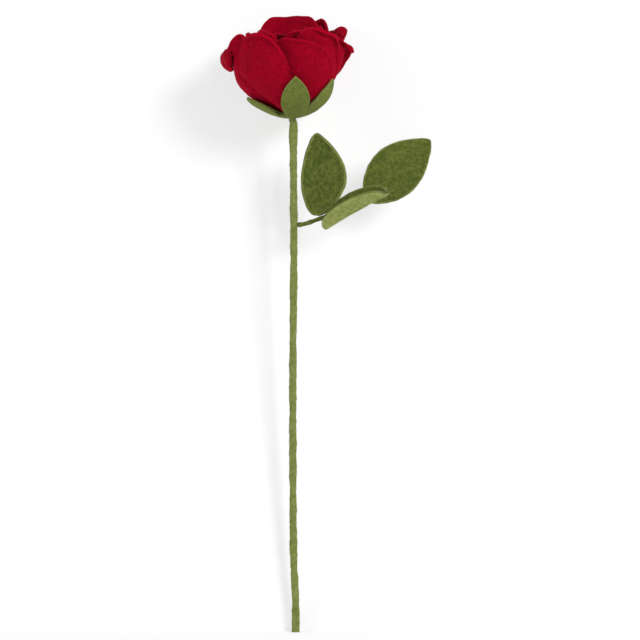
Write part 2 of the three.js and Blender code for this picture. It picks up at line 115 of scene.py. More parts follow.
cos_x, sin_x = math.cos(TILT_FRONT), math.sin(TILT_FRONT)
cos_y, sin_y = math.cos(TILT_LEFT), math.sin(TILT_LEFT)
nod = np.array([[1, 0, 0], [0, cos_x, -sin_x], [0, sin_x, cos_x]])
lean_left = np.array([[cos_y, 0, -sin_y], [0, 1, 0], [sin_y, 0, cos_y]])
BLOOM_TURN = nod @ lean_left
BLOOM_AXIS = BLOOM_TURN[:, 2]
CALYX_FELT = 2.2
CALYX_LAYER = OUTERMOST_LAYER + (PETAL_FELT + CALYX_FELT) / 2 + GAP
BLOOM_PLACE = NECK + BLOOM_AXIS * (GAP + BUD_RADIUS + CALYX_LAYER + CALYX_FELT / 2)


def in_bloom(points):
    return points @ BLOOM_TURN.T + BLOOM_PLACE


WAVES = 14
USUAL_SUM = 5.3


def lumps(points, size, seed):
    """A smooth random height from about -1 to 1 at each point, with swells about size across."""
    rng = np.random.default_rng(seed)
    waves = rng.normal(size=(WAVES, 3))
    wave_length = size * rng.uniform(0.7, 1.6, WAVES)
    waves *= (2 * math.pi / wave_length / np.linalg.norm(waves, axis=1))[:, None]
    return np.sin(points @ waves.T + rng.uniform(0, 7, WAVES)).sum(1) / USUAL_SUM


def active(obj):
    bpy.ops.object.select_all(action="DESELECT")
    bpy.context.view_layer.objects.active = obj
    obj.select_set(True)


def places_of(mesh):
    flat = np.zeros(len(mesh.vertices) * 3, np.float32)
    mesh.vertices.foreach_get("co", flat)
    return flat.reshape(-1, 3).astype(float) / MM


def set_places(mesh, points):
    mesh.vertices.foreach_set("co", (points * MM).astype(np.float32).ravel())
    mesh.update()


def apply(obj, kind, **settings):
    modifier = obj.modifiers.new(kind.lower(), kind)
    for name, value in settings.items():
        setattr(modifier, name, value)
    active(obj)
    bpy.ops.object.modifier_apply(modifier=modifier.name)


AT_CUT = 1e-4
STEEPEST = 0.35
ROOM_NEEDED = 1.3
LEAST_WEIGHT = 0.2
SHORTEST = 0.3


def soften_cut_edge(piece, width):
    """Rounds the corners of the cut edge, less where the blank's columns run close together. Edges that are
    very short, or that the blank's columns meet at a slant, stay as they are. The mesh holds the points of
    the felt's front and then those of its back."""
    mesh = piece.data
    ends = np.zeros(len(mesh.edges) * 2, np.int32)
    mesh.edges.foreach_get("vertices", ends)
    ends = ends.reshape(-1, 2)
    inward = np.zeros(len(mesh.vertices), np.float32)
    mesh.attributes["inward"].data.foreach_get("value", inward)
    at_cut = inward[ends] < AT_CUT
    points = places_of(mesh)
    next_in = np.zeros(points.shape)
    for this, other in ((0, 1), (1, 0)):
        leading_in = at_cut[:, this] & ~at_cut[:, other]
        next_in[ends[leading_in, this]] = (points[ends[:, other]] - points[ends[:, this]])[leading_in]
    run = points[ends[:, 1]] - points[ends[:, 0]]
    long = np.linalg.norm(run, axis=1)
    run /= long.clip(1e-6)[:, None]
    room = np.full(len(ends), np.inf)
    for end in (0, 1):
        inner = next_in[ends[:, end]]
        across = np.linalg.norm(np.cross(inner, run), axis=1)
        room = np.minimum(room, np.where(across > STEEPEST * np.linalg.norm(inner, axis=1), across, 0))
    on_back = ends >= len(mesh.vertices) // 2
    along_cut = at_cut.all(1) & (on_back[:, 0] == on_back[:, 1])
    weight = along_cut * (room / (ROOM_NEEDED * width)).clip(0, 1)
    weight[(weight < LEAST_WEIGHT) | (long < SHORTEST * width)] = 0
    bevel_weight = mesh.attributes.new("bevel_weight_edge", "FLOAT", "EDGE")
    bevel_weight.data.foreach_set("value", weight.astype(np.float32))
    apply(piece, "BEVEL", width=width * MM, segments=3, limit_method="WEIGHT", use_clamp_overlap=False)


CUT_SOFTENING = 0.26
BIG_LUMP, SMALL_LUMP = 7, 2.6
SMALL_SHARE = 0.35


def felt_piece(name, surface, columns, rows, thickness, seed, finishes, cut=("left", "right", "top"),
               ring=False, swell=0.16):
    """A piece of felt: a flat blank laid on surface(u, v), thickened, its cut edge softened and its faces
    uneven. It keeps how far each point is from the cut edge, for its finish. A second finish goes on its
    other side."""
    bpy.ops.object.select_all(action="DESELECT")
    bpy.ops.mesh.primitive_grid_add(x_subdivisions=columns, y_subdivisions=rows, size=2)
    piece = bpy.context.object
    piece.name = piece.data.name = name
    grid = places_of(piece.data) * MM
    u, v = grid[:, 0], (grid[:, 1] + 1) / 2
    points = surface(u, v)
    set_places(piece.data, points)
    sides = {"left": u < -0.999, "right": u > 0.999, "top": v > 0.999, "foot": v < 0.001}
    cut_places = points[np.any([sides[side] for side in cut], axis=0)]
    tree = KDTree(len(cut_places))
    for k, place in enumerate(cut_places):
        tree.insert(place, k)
    tree.balance()
    inward = piece.data.attributes.new("inward", "FLOAT", "POINT")
    inward.data.foreach_set("value", np.array([tree.find(p)[2] for p in points], np.float32))
    if ring:
        active(piece)
        bpy.ops.object.mode_set(mode="EDIT")
        bpy.ops.mesh.select_all(action="SELECT")
        bpy.ops.mesh.remove_doubles(threshold=1e-6)
        bpy.ops.object.mode_set(mode="OBJECT")
    for finish in finishes:
        piece.data.materials.append(finish.material)
    apply(piece, "SOLIDIFY", thickness=thickness * MM, offset=0, use_rim=True,
          material_offset=len(finishes) - 1)
    soften_cut_edge(piece, CUT_SOFTENING * thickness)
    points = places_of(piece.data)
    normals = np.zeros(len(points) * 3, np.float32)
    piece.data.vertex_normals.foreach_get("vector", normals)
    rough = swell * lumps(points, BIG_LUMP, seed) + SMALL_SHARE * swell * lumps(points, SMALL_LUMP, seed + 1)
    points += normals.reshape(-1, 3) * rough[:, None]
    points[:, 2] = points[:, 2].clip(0)
    set_places(piece.data, points)
    piece.data.shade_smooth()
    return piece


class Shade:
    """A socket of a finish. Sums and products of shades add Math nodes."""

    def __init__(self, finish, socket):
        self.finish, self.socket = finish, socket

    def maths(self, operation, *values):
        return self.finish.node("Math", {"operation": operation}, dict(enumerate(values)))

    def __add__(self, other):
        return self.maths("ADD", self, other)

    def __sub__(self, other):
        return self.maths("SUBTRACT", self, other)

    def __rsub__(self, other):
        return self.maths("SUBTRACT", other, self)

    def __mul__(self, other):
        return self.maths("MULTIPLY", self, other)

    __radd__, __rmul__ = __add__, __mul__

    def __abs__(self):
        return self.maths("ABSOLUTE", self)

    def above(self, low, high):
        """0 below low, 1 above high."""
        sockets = {"Value": self, "From Min": low, "From Max": high}
        return self.finish.node("MapRange", {"interpolation_type": "SMOOTHSTEP"}, sockets)


class Finish:
    """A material, made node by node."""

    def __init__(self, name, **constants):
        self.material = bpy.data.materials.new(name)
        self.material.use_nodes = True
        self.tree = self.material.node_tree
        self.surface = self.tree.nodes["Principled BSDF"]
        for socket, value in constants.items():
            self.surface.inputs[socket.replace("_", " ")].default_value = value

    def node(self, kind, settings, sockets, out=0):
        made = self.tree.nodes.new("ShaderNode" + kind)
        for name, value in settings.items():
            setattr(made, name, value)
        for place, value in sockets.items():
            if isinstance(value, Shade):
                self.tree.links.new(value.socket, made.inputs[place])
            else:
                made.inputs[place].default_value = value
        return Shade(self, made.outputs[out])

    def noise(self, where, scale, detail=2, roughness=0.5, out=0):
        sockets = {"Vector": where, "Scale": scale, "Detail": detail, "Roughness": roughness}
        return self.node("TexNoise", {}, sockets, out)

    def blend(self, factor, first, second):
        """A mix of two colours: a Mix node takes them at sockets 6 and 7 and gives the mix at 2."""
        return self.node("Mix", {"data_type": "RGBA"}, {0: factor, 6: first, 7: second}, out=2)

    def into(self, socket, shade):
        self.tree.links.new(shade.socket, self.surface.inputs[socket])

    def on(self, *objects):
        for obj in objects:
            obj.data.materials.clear()
            obj.data.materials.append(self.material)


def colour(red, green, blue):
    """The shader's colour for one written as on a screen, from 0 to 255."""
    shares = [value / 255 for value in (red, green, blue)]
    return [c / 12.92 if c <= 0.04045 else ((c + 0.055) / 1.055) ** 2.4 for c in shares] + [1]


def felt_finish(name, base, deep, pale, edge, stray, sheen, patches=620):
    """Wool felt: tangled fibres, marled with deeper and paler wool, a paler cut edge and a few stray fibres.
    The scale of each pattern is its swells to the metre."""
    f = Finish(name, Sheen_Weight=0.16, Sheen_Roughness=0.5, Sheen_Tint=sheen, Specular_IOR_Level=0.04)
    place = f.node("TexCoord", {}, {}, out="Object")
    drift = f.noise(place, 420, 3, out="Color")
    swirl = f.node("VectorMath", {"operation": "MULTIPLY_ADD"}, {0: drift, 1: (0.0022,) * 3, 2: place})
    cloud = f.noise(place, 95, 3, 0.6)
    clump = f.noise(swirl, patches, 3, 0.65)
    wool = f.noise(swirl, 1900, 2, 0.6)
    strands = f.noise(swirl, 760, 1)
    strand = 1 - abs(strands - 0.5).above(0, 0.035)
    finer = f.noise(swirl, 1500, 1)
    fine = 1 - abs(finer - 0.47).above(0, 0.04)
    flecks = f.node("TexVoronoi", {}, {"Vector": swirl, "Scale": 260, "Randomness": 1}, out="Distance")
    rare = f.noise(place, 150, 1)
    fleck = (1 - flecks.above(0.03, 0.16)) * rare.above(0.6, 0.68)
    inward = f.node("Attribute", {"attribute_name": "inward"}, {}, out="Fac")
    near_edge = 1 - inward.above(0.1, 0.9)
    shade = f.blend(cloud.above(0.3, 0.75) * 0.35 + clump.above(0.35, 0.7) * 0.65, deep, base)
    shade = f.blend(wool.above(0.5, 0.8) * 0.4 + strand * 0.3 + fine * 0.25, shade, pale)
    shade = f.blend(near_edge * (clump * 0.5 + 0.15), shade, edge)
    shade = f.blend(fleck * 0.6, shade, stray)
    f.into("Base Color", shade)
    f.into("Roughness", 0.97 - clump * 0.14)
    height = clump * 0.45 + wool * 0.3 + strand * 0.3 + fine * 0.2
    f.into("Normal", f.node("Bump", {}, {"Strength": 0.75, "Distance": 0.00045, "Height": height}))
    return f


red_felt = felt_finish("red_wool_felt", base=colour(158, 0, 32), deep=colour(118, 0, 19),
                       pale=colour(184, 10, 42), edge=colour(176, 2, 35), stray=colour(206, 84, 102),
                       sheen=colour(220, 30, 60))

FIBRE_THICK = 0.034
FIBRE_TAPER = 0.55
FIBRE_ROOTED = 0.12
FIBRE_PARTS = (0, 0.36, 0.7, 1)
FIBRE_SIDES = 3
FIBRE_POINTS = 10


def fuzz(name, felts, count, length, seed, finish, frayed_at=None, frayed_within=5):
    """Loose fibres that stand out of pieces of felt: thin, curled, tapered, each a sliver of three sides.
    They grow all over, or only within some distance of a frayed place."""
    rng = np.random.default_rng(seed)
    corners = []
    for felt in felts:
        felt.data.calc_loop_triangles()
        index = np.zeros(len(felt.data.loop_triangles) * 3, np.int32)
        felt.data.loop_triangles.foreach_get("vertices", index)
        corners.append(places_of(felt.data)[index].reshape(-1, 3, 3))
    corners = np.concatenate(corners)
    outward = np.cross(corners[:, 1] - corners[:, 0], corners[:, 2] - corners[:, 0])
    size = np.linalg.norm(outward, axis=1)
    wanted = size
    if frayed_at is not None:
        wanted = size * (np.linalg.norm(corners.mean(1) - frayed_at, axis=1) < frayed_within)
    pick = rng.choice(len(size), count, p=wanted / wanted.sum())
    share = rng.dirichlet((1, 1, 1), count)[:, :, None]
    outward = outward[pick] / size[pick][:, None]
    root = (corners[pick] * share).sum(1) - outward * FIBRE_ROOTED

    def crosswise(direction):
        side = np.cross(direction, rng.normal(size=(count, 3)))
        return side / np.linalg.norm(side, axis=1)[:, None]

    tilt = rng.uniform(0.3, 1.45, count)[:, None]
    heading = outward * np.cos(tilt) + crosswise(outward) * np.sin(tilt)
    side = crosswise(heading)
    reach = (length * rng.gamma(2.2, 0.32, count)).clip(0.3, 2.4 * length)[:, None]
    curl = rng.uniform(0.6, 2.6, count)[:, None]
    third = np.cross(heading, side)
    corner_angles = [2 * math.pi * k / FIBRE_SIDES for k in range(FIBRE_SIDES)]
    rings = []
    for part in FIBRE_PARTS:
        turn = curl * part
        middle = root + reach / curl * (np.sin(turn) * heading + (1 - np.cos(turn)) * side)
        facing = np.cos(turn) * side - np.sin(turn) * heading
        if part == 1:
            rings.append(middle[:, None])
            continue
        wide = FIBRE_THICK * (1 - FIBRE_TAPER * part)
        rings.append(np.stack([middle + wide * (facing * math.cos(a) + third * math.sin(a))
                               for a in corner_angles], axis=1))
    points = np.concatenate(rings, axis=1)
    points[:, :, 2] = points[:, :, 2].clip(0)
    faces = [(0, 2, 1)]
    for low in (0, 3):
        faces += [(low + k, low + (k + 1) % 3, low + 3 + (k + 1) % 3, low + 3 + k) for k in range(3)]
    faces += [(6 + k, 6 + (k + 1) % 3, 9) for k in range(3)]
    faces = [tuple(k + FIBRE_POINTS * fibre for k in face) for fibre in range(count) for face in faces]
    mesh = bpy.data.meshes.new(name)
    mesh.from_pydata((points.reshape(-1, 3) * MM).tolist(), [], faces)
    paleness = mesh.attributes.new("paleness", "FLOAT", "POINT")
    paleness.data.foreach_set("value", np.repeat(rng.random(count), FIBRE_POINTS).astype(np.float32))
    mesh.shade_smooth()
    made = bpy.data.objects.new(name, mesh)
    bpy.context.collection.objects.link(made)
    finish.on(made)
    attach(made, "root")


def fibre_finish(name, base, pale):
    f = Finish(name, Sheen_Weight=0.1, Specular_IOR_Level=0.1, Roughness=0.9)
    paleness = f.node("Attribute", {"attribute_name": "paleness"}, {}, out="Fac")
    f.into("Base Color", f.blend(paleness.above(0.2, 1), base, pale))
    return f


red_fibre = fibre_finish("red_wool_fibre", colour(152, 2, 30), colour(190, 48, 68))

BLANK_WIDER, BLANK_SHORTER = 1.05, 0.9
BLANK_SHARE = 0.8


def seed_of(name):
    return sum(ord(letter) * (k + 1) for k, letter in enumerate(name))


def petal(name, turn, spread, length, drop, layer, curl, curl_sides, foot_turn=None, opening=(0, 0),
          open_height=30, open_over=(-1, 1), curl_radius=CURL_RADIUS, hang=0, roundness=ROUNDNESS,
          corner=(CORNER_CUT, CORNER_CUT), spacing=0.9):
    """One petal. Its middle stands at the angle turn, its foot at foot_turn, and it covers spread degrees to
    each side. Pairs are for its left and right side: its layer, how much shorter the side is (drop), its
    share of the curl, how far it opens, and how deep its corner is cut. The rim waves a little, as cut by
    hand. The blank's points are spacing apart."""
    foot_turn = turn if foot_turn is None else foot_turn

    def surface(u, v):
        cup = between(layer, (u + 1) / 2)
        radius = BUD_RADIUS + cup
        foot = radius * np.arcsin((CORE_RADIUS + GAP) / (radius - PETAL_FELT / 2))
        whole = length * (1 - np.where(u < 0, drop[0], drop[1]) * np.abs(u) ** roundness)
        share = between((1, np.where(u < 0, *curl_sides)), smooth(np.abs(u) / 0.75))
        turned = math.radians(curl) * share
        curl_from = whole - hang * share - curl_radius * turned
        out = between(opening, smooth((u - open_over[0]) / (open_over[1] - open_over[0])))
        grown = v**1.5
        angle = between((foot_turn, turn), grown) + u * spread * between((FOOT_SHARE, 1), grown)
        in_corner = np.clip((np.abs(u) - CORNER_START) / (1 - CORNER_START), 0, 1)
        cut = np.where(u < 0, *corner) * (1 - np.sqrt(1 - in_corner**2))
        wave = 0.35 * np.sin(u * 5 + turn) + 0.25 * np.sin(u * 11 + 2 * turn)
        along = foot + v * (whole - cut + wave - foot)
        points = cup_point(np.radians(angle), cup, along, out, open_height, curl_from, curl_radius, turned)
        return in_bloom(points)

    width = 2 * math.radians(spread) * (BUD_RADIUS + sum(layer) / 2)
    columns, rows = round(width / spacing), round(length / spacing)
    piece = felt_piece("felt_" + name, surface, columns, rows, PETAL_FELT, seed_of(name), [red_felt])
    flat = (BLANK_WIDER * width * MM, BLANK_SHORTER * length * MM)
    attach(piece, "root")
    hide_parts(name)
    BLANK_SHARE * flat[0] * flat[1]
    return piece


def climbing(steps):
    """A petal's left side in the first outer layer and its right side some steps outside it."""
    return OUTER_LAYER, OUTER_LAYER + steps * LAYER_STEP


outer_petals = [
    petal("outer_petal_front_left", turn=-119, foot_turn=-98, spread=33, length=OUTER_LENGTH + 3,
          drop=(0.26, 0.5), layer=(OUTERMOST_LAYER, OUTER_LAYER + 2.1 * LAYER_STEP), curl=80,
          curl_sides=(0.3, 0.6), opening=(4, 0), roundness=1.9),
    petal("outer_petal_front_right", turn=-72, spread=46, length=OUTER_LENGTH - 8, drop=(0.1, 0.33),
          layer=(OUTER_LAYER + 0.4 * LAYER_STEP, OUTERMOST_LAYER), curl=45, curl_sides=(0, 1), corner=(2, 5)),
    petal("outer_petal_right_front", turn=-42, spread=37, length=OUTER_LENGTH - 3, drop=(0.1, 0.42),
          layer=climbing(1.9), curl=100, curl_sides=(0.1, 1), curl_radius=3.5, corner=(4, CORNER_CUT)),
    petal("outer_petal_right", turn=10, spread=28, length=OUTER_LENGTH - 6, drop=(0.3, 0.34),
          layer=(OUTER_LAYER, covering(OUTER_LAYER, 28, 30)), curl=190, curl_sides=(0.2, 0.8),
          opening=(0, 7.3), open_height=40, open_over=(-0.4, 0.1), curl_radius=3.2),
    petal("outer_petal_right_back", turn=39, foot_turn=40, spread=28, length=OUTER_LENGTH + 4,
          drop=(0.3, 0.3), layer=climbing(1.9), curl=190, curl_sides=(0.7, 0.6), opening=(7.3, 7),
          open_height=40, curl_radius=3.2),
    petal("outer_petal_back_right", turn=62, foot_turn=69.5, spread=30, length=OUTER_LENGTH + 5,
          drop=(0.3, 0.24), layer=climbing(2.2), curl=60, curl_sides=(0, 0.7), opening=(5, 3),
          open_height=40),
    petal("outer_petal_back", turn=93, foot_turn=100, spread=50, length=OUTER_LENGTH + 4, drop=(0.08, 0.22),
          layer=climbing(0), curl=50, curl_sides=(0.5, 0), corner=(7, CORNER_CUT)),
    petal("outer_petal_back_left", turn=142, spread=34, length=OUTER_LENGTH - 2, drop=(0.2, 0.3),
          layer=climbing(1.9)[::-1], curl=60, curl_sides=(0.7, 0)),
    petal("outer_petal_left", turn=182, foot_turn=216, spread=34, length=OUTER_LENGTH + 1, drop=(0.26, 0.24),
          layer=(OUTER_LAYER + 2 * LAYER_STEP, OUTER_LAYER + 0.8 * LAYER_STEP), curl=188,
          curl_sides=(0.5, 0.1), opening=(6, 1), open_height=22, open_over=(-0.2, 0.5), curl_radius=2.9,
          hang=8, corner=(5, 5)),
]
middle_turns = (-140, -68, 2, 70, 140)
middle_lengths = (1, 0.96, 1, 1.02, 1)
middle_layer = (MIDDLE_LAYER, covering(MIDDLE_LAYER, MIDDLE_SPREAD, MIDDLE_SPACING))
middle_petals = [
    petal(f"middle_petal_{k + 1}", turn=turn, spread=MIDDLE_SPREAD, length=MIDDLE_LENGTH * longer,
          drop=(0.3, 0.3), layer=middle_layer, curl=40, curl_sides=(0, 1), corner=(5, 5), spacing=1.2)
    for k, (turn, longer) in enumerate(zip(middle_turns, middle_lengths))
]
inner_layer = (INNER_LAYER, covering(INNER_LAYER, INNER_SPREAD, INNER_SPACING))
inner_petals = [
    petal(f"inner_petal_{k + 1}", turn=turn, spread=INNER_SPREAD, length=INNER_LENGTH + 2 * (k - 1),
          drop=(0.3, 0.3), layer=inner_layer, curl=20, curl_sides=(0, 1), corner=(5, 5), spacing=1.2)
    for k, turn in enumerate((-100, 20, 140))
]
front_petals, back_petals = outer_petals[:4], outer_petals[4:]
hidden_petals = middle_petals + inner_petals
fuzz("front_petal_fibres", front_petals, count=9000, length=1.1, seed=11, finish=red_fibre)
fuzz("back_petal_fibres", back_petals, count=9500, length=1.1, seed=12, finish=red_fibre)
fuzz("inner_petal_fibres", hidden_petals, count=6000, length=0.9, seed=13, finish=red_fibre)

# Bud and core
# The bud is a strip of darker red felt rolled round the wire. It sits on a felt post that the petals' feet
# are glued round, with a round head under the roll.

BUD_SLOT = 0.5
BUD_HEIGHT = 25
BUD_SEAT = 2
BUD_LOWER_PER_TURN = 0.03
WIRE_RADIUS = 1
HEAD_STEPS = 8

dark_red_felt = felt_finish("dark_red_wool_felt", base=colour(132, 6, 26), deep=colour(96, 2, 16),
                            pale=colour(160, 22, 42), edge=colour(150, 12, 32), stray=colour(180, 90, 100),
                            sheen=colour(200, 70, 80))
bud_start = WIRE_RADIUS + GAP + PETAL_FELT / 2
bud_pitch = PETAL_FELT + BUD_SLOT
bud_turns = (BUD_RADIUS - PETAL_FELT / 2 - bud_start) / bud_pitch


def bud_surface(u, v):
    turns = (u + 1) / 2 * bud_turns
    angle = turns * 2 * math.pi
    r = bud_start + turns * bud_pitch
    waving = 0.8 * np.sin(turns * 9)
    height = BUD_HEIGHT * (1 - BUD_LOWER_PER_TURN * turns) + waving
    return in_bloom(np.stack([r * np.cos(angle), r * np.sin(angle), GAP - BUD_SEAT + v * height], axis=1))


bud = felt_piece("felt_bud", bud_surface, columns=110, rows=26, thickness=PETAL_FELT, seed=21,
                 finishes=[dark_red_felt], swell=0.08)
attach(bud, "root")
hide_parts("bud_roll")

hole = WIRE_RADIUS + GAP
head_height = -math.sqrt(BUD_RADIUS**2 - CORE_RADIUS**2)
calyx_top = CALYX_FELT / 2 - BUD_RADIUS - CALYX_LAYER
core_foot = calyx_top + 2 * GAP
profile = [(hole, core_foot), (CORE_RADIUS, core_foot), (CORE_RADIUS, head_height)]
for k in range(1, HEAD_STEPS + 1):
    height = head_height + (-BUD_SEAT - head_height) * k / HEAD_STEPS
    profile.append((math.sqrt(BUD_RADIUS**2 - height**2), height))
profile += [(hole, -BUD_SEAT)]
outline = [(k, (k + 1) % len(profile)) for k in range(len(profile))]
mesh = bpy.data.meshes.new("felt_core")
mesh.from_pydata([(r * MM, 0, z * MM) for r, z in profile], outline, [])
core = bpy.data.objects.new("felt_core", mesh)
bpy.context.collection.objects.link(core)
active(core)
bpy.ops.object.mode_set(mode="EDIT")
bpy.ops.mesh.select_all(action="SELECT")
bpy.ops.mesh.spin(steps=48, angle=2 * math.pi, center=(0, 0, 0), axis=(0, 0, 1))
bpy.ops.mesh.select_all(action="SELECT")
bpy.ops.mesh.remove_doubles(threshold=1e-6)
bpy.ops.mesh.normals_make_consistent(inside=False)
bpy.ops.object.mode_set(mode="OBJECT")
apply(core, "BEVEL", width=0.5 * MM, segments=3, limit_method="ANGLE", angle_limit=math.radians(50))
set_places(core.data, in_bloom(places_of(core.data)))
core.data.shade_smooth()
dark_red_felt.on(core)
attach(core, "root")
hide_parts("bloom_core")

# Calyx
# One star of green felt with five pointed sepals, pushed up the wire and glued under the outermost petals.
# The front sepal lies close to the petals, the ones at the back stand off.

SEPAL_ROOT = 10
# Each sepal's turn round the bloom, its length, how far it opens and up to which height, and its spread and
# fullness.
SEPALS = np.array([
    (-84, 43, 0.5, 30, 26, 2.6),
    (-34, 40, 0.5, 30, 24, 1.8),
    (54, 38, 15, 40, 29, 2.6),
    (126, 38, 7, 28, 29, 2.6),
    (198, 30, 5, 22, 29, 2.6),
])

green_felt = felt_finish("light_green_wool_felt", base=colour(112, 124, 58), deep=colour(82, 93, 37),
                         pale=colour(140, 150, 82), edge=colour(150, 160, 92), stray=colour(176, 182, 128),
                         sheen=colour(190, 200, 130))
green_fibre = fibre_finish("green_wool_fibre", colour(104, 116, 56), colour(168, 176, 112))


def calyx_surface(u, v):
    place = (u + 1) / 2 * len(SEPALS)
    index = np.floor(place).astype(int) % len(SEPALS)
    w = (place - np.floor(place)) * 2 - 1
    turn, length, opening, open_height, spread, fullness = SEPALS[index].T
    side = np.abs(w)
    angle = turn + np.sign(w) * spread * (1 - (1 - side) ** fullness)
    reach = SEPAL_ROOT + (length - SEPAL_ROOT) * (1 - side)
    along = hole + v * (reach - hole)
    return in_bloom(cup_point(np.radians(angle), CALYX_LAYER, along, opening, open_height))


calyx = felt_piece("felt_calyx", calyx_surface, columns=200, rows=26, thickness=CALYX_FELT, seed=31,
                   finishes=[green_felt], cut=("top",), ring=True, swell=0.12)
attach(calyx, "root")
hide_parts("calyx")
fuzz("calyx_fibres", [calyx], count=3200, length=1.0, seed=32, finish=green_fibre)

# Stem
# A drawn steel wire, bent a little by hand, wound from foot to neck with one strip of green felt. Each turn
# of the strip lies over the top of the turn below it, and it is cut level at the foot.

STEM_LENGTH = 332
STEM_SWAY = 1.8
FOOT_STRAIGHT = 12
WRAP_RADIUS = 2.4
WRAP_TURNS = 24
WRAP_COVER = 1.2
STRIP_END = 0.57
WRAP_FELT = 0.62
CURVE_STEPS = 100


class Path:
    """A smooth curve through points, found by its length from the start."""

    def __init__(self, points):
        points = np.array(points, float)
        points = np.vstack([2 * points[0] - points[1], points, 2 * points[-1] - points[-2]])
        dense = [points[1]]
        for a, b, c, d in zip(points, points[1:], points[2:], points[3:]):
            ab, bc, cd = (math.dist(p, q) ** 0.5 for p, q in ((a, b), (b, c), (c, d)))
            start = ((b - a) / ab - (c - a) / (ab + bc) + (c - b) / bc) * bc
            end = ((c - b) / bc - (d - b) / (bc + cd) + (d - c) / cd) * bc
            square = 3 * (c - b) - 2 * start - end
            cube = 2 * (b - c) + start + end
            for k in range(1, CURVE_STEPS + 1):
                t = k / CURVE_STEPS
                dense.append(b + start * t + square * t**2 + cube * t**3)
        self.dense = np.array(dense)
        steps = np.linalg.norm(np.diff(self.dense, axis=0), axis=1)
        self.at = np.concatenate([[0], np.cumsum(steps)])
        self.length = self.at[-1]

    def point(self, s):
        return np.stack([np.interp(s, self.at, self.dense[:, k]) for k in range(3)], axis=-1)


def sway(share, part):
    """A point at a share of the stem's length, swayed by a part of STEM_SWAY."""
    return (-STEM_SWAY * part, 0, STEM_LENGTH * share)


stem_bend = Path([
    (0, 0, FOOT_STRAIGHT),
    (0, 0, FOOT_STRAIGHT * 1.5),
    sway(0.14, 0.7),
    sway(0.33, 1),
    sway(0.52, 1),
    sway(0.75, 0.67),
    sway(0.93, 0.85),
    NECK - 4 * BLOOM_AXIS,
    NECK,
])
wrap_length = FOOT_STRAIGHT + stem_bend.length


def stem_point(s):
    s = np.asarray(s, float)[..., None]
    foot = np.array([0, 0, 1]) * s
    top = NECK + BLOOM_AXIS * (s - wrap_length)
    bent = stem_bend.point(s[..., 0] - FOOT_STRAIGHT)
    return np.where(s <= FOOT_STRAIGHT, foot, np.where(s >= wrap_length, top, bent))


def wound(point_at, length, turns, radius_at):
    """The outside of a strip wound round a line: u runs along the strip, v up its height."""
    pitch = length / (turns - 1)
    half = WRAP_COVER * pitch / 2

    def surface(u, v):
        turn = between((-STRIP_END, turns - 1 + STRIP_END), (u + 1) / 2)
        low = np.clip(turn * pitch - half, 0, length)
        high = np.clip(turn * pitch + half, 0, length)
        s = low + (high - low) * v
        tangent = point_at(s + 0.05) - point_at(s - 0.05)
        tangent /= np.linalg.norm(tangent, axis=1)[:, None]
        square_to = 0 if abs(tangent[0, 0]) < 0.5 else 1
        side = np.eye(3)[square_to] - tangent * tangent[:, square_to, None]
        side /= np.linalg.norm(side, axis=1)[:, None]
        other = np.cross(tangent, side)
        angle = (turn * 2 * math.pi)[:, None]
        r = radius_at(s, v)[:, None]
        return point_at(s) + r * (side * np.cos(angle) + other * np.sin(angle))

    return surface


def step_in(v, over, under):
    """The strip's lower edge stands out over the turn below it, and its top edge goes in under the next."""
    return over * (1 - smooth(v / 0.25)) - under * smooth((v - 0.74) / 0.14)


def wrap_radius(s, v):
    """The strip is wound more and less tightly, and a little thicker at the neck."""
    lump = 0.22 * np.sin(s * 0.19) * np.sin(s * 0.071 + 1)
    thicker_neck = 0.25 * smooth((s - 290) / 30)
    return WRAP_RADIUS - 0.38 + (lump + thicker_neck) + step_in(v, 0.22, 0.55)


stem_felt = felt_finish("green_wool_felt", base=colour(133, 143, 79), deep=colour(94, 104, 46),
                        pale=colour(158, 166, 105), edge=colour(147, 155, 95), stray=colour(182, 188, 136),
                        sheen=colour(190, 200, 130))
stem_fibre = fibre_finish("stem_wool_fibre", colour(126, 136, 78), colour(184, 192, 134))
wrap_surface = wound(stem_point, wrap_length + GAP, WRAP_TURNS, wrap_radius)
wrap = felt_piece("felt_wrap", wrap_surface, columns=1150, rows=14, thickness=WRAP_FELT, seed=41,
                  finishes=[stem_felt], cut=("foot", "top"), swell=0.18)
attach(wrap, "root")
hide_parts("stem_wrap")
fuzz("stem_fibres", [wrap], count=15000, length=1.1, seed=42, finish=stem_fibre)

# Branch
# A thin wire twisted off the stem, wound with a narrow strip of the same felt. It carries two leaves at a
# node and runs on behind the end leaf, to which it is glued.

BRANCH_BELOW_BLOOM = 68.5
NODE_DISTANCE = 16.5
END_LEAF_DISTANCE = 33.1
BRANCH_RADIUS = 1.4
BRANCH_TUCK = 12
SLEEVE_FELT = 0.4
SLEEVE_TURNS = 9
SLEEVE_NEARER = 0.6
LEAF_FELT = 2.4


def heading(x, y, z):
    """A direction of length one."""
    return np.array([x, y, z]) / math.dist((0, 0, 0), (x, y, z))


branch_root = stem_point(wrap_length - BRANCH_BELOW_BLOOM)
node = branch_root + heading(0.97, 0.02, 0.225) * NODE_DISTANCE
end_leaf_foot = node + heading(0.927, 0, 0.375) * END_LEAF_DISTANCE
end_leaf_run = heading(0.73, 0, 0.683)
behind_leaf = np.array([0, (LEAF_FELT / 2 + GAP + BRANCH_RADIUS) * 1.02, 0])
branch = Path([
    branch_root + (WIRE_RADIUS + GAP, 0, 0),
    branch_root + (WIRE_RADIUS + GAP + 5, 0, 0.4),
    node,
    (node + end_leaf_foot) / 2 + behind_leaf * 0.6,
    end_leaf_foot + behind_leaf,
    end_leaf_foot + behind_leaf + end_leaf_run * BRANCH_TUCK,
])
sleeve_start = WRAP_RADIUS - WIRE_RADIUS
sleeve_length = 0.985 * branch.length - sleeve_start


def sleeve_point(s):
    return branch.point(s + sleeve_start - SLEEVE_NEARER)


